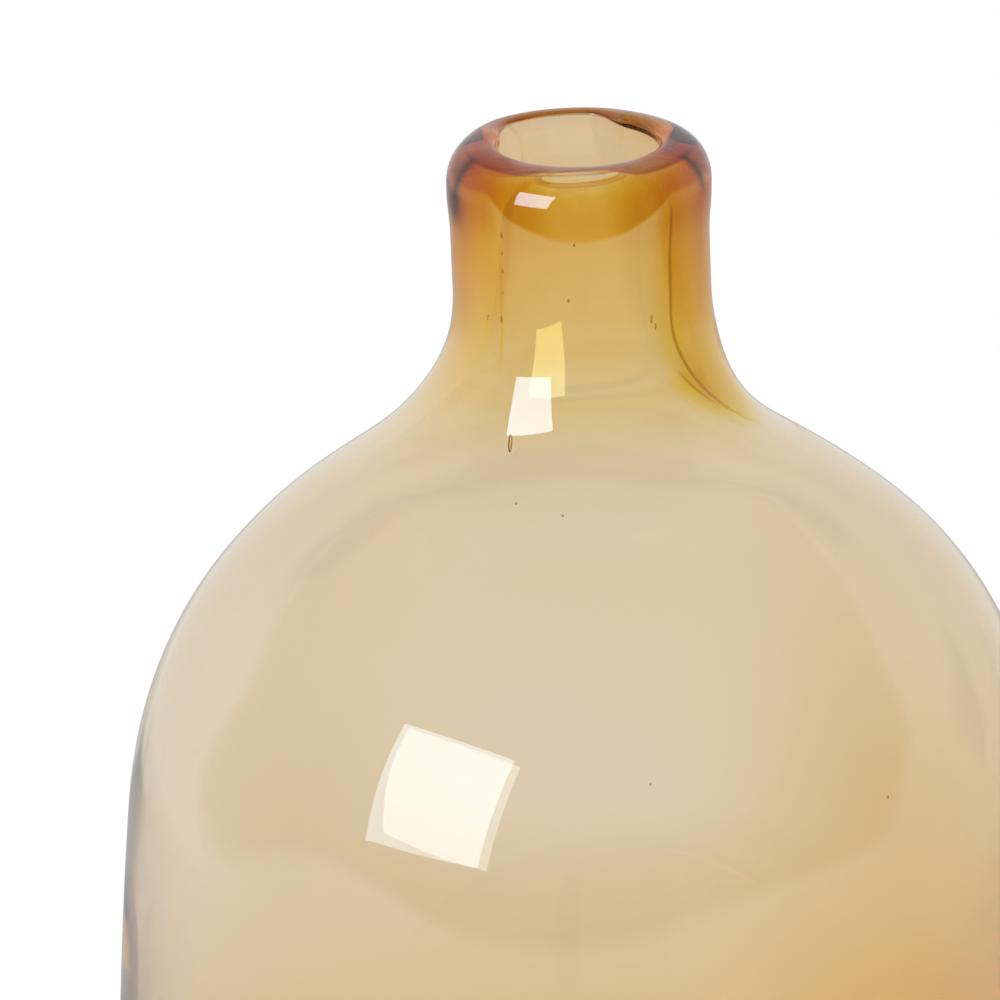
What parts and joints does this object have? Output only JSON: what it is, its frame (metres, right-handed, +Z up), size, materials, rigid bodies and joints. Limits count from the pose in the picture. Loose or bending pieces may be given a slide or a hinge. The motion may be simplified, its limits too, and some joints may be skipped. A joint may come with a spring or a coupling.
{
  "type": "glass bottle vase",
  "caption": "Mouth-blown amber glass bottle vase: thin domed body, thick short neck with a rounded lip, for holding water and flower stems.",
  "frame": {"origin": "on the vase's own axis, in the plane of the standing ring", "axes": "+Z up along the vase's axis, from the standing ring to the mouth; the body is round, so X and Y are alike"},
  "size_m": [0.1942, 0.1942, 0.3],
  "materials": {
    "amber_glass": "clear, fire-polished, tinted through its thickness"
  },
  "bodies": {
    "root": {"blown_vessel": "amber_glass", "lip_wrap": "amber_glass", "base_pad": "amber_glass"}
  },
  "joints": []
}
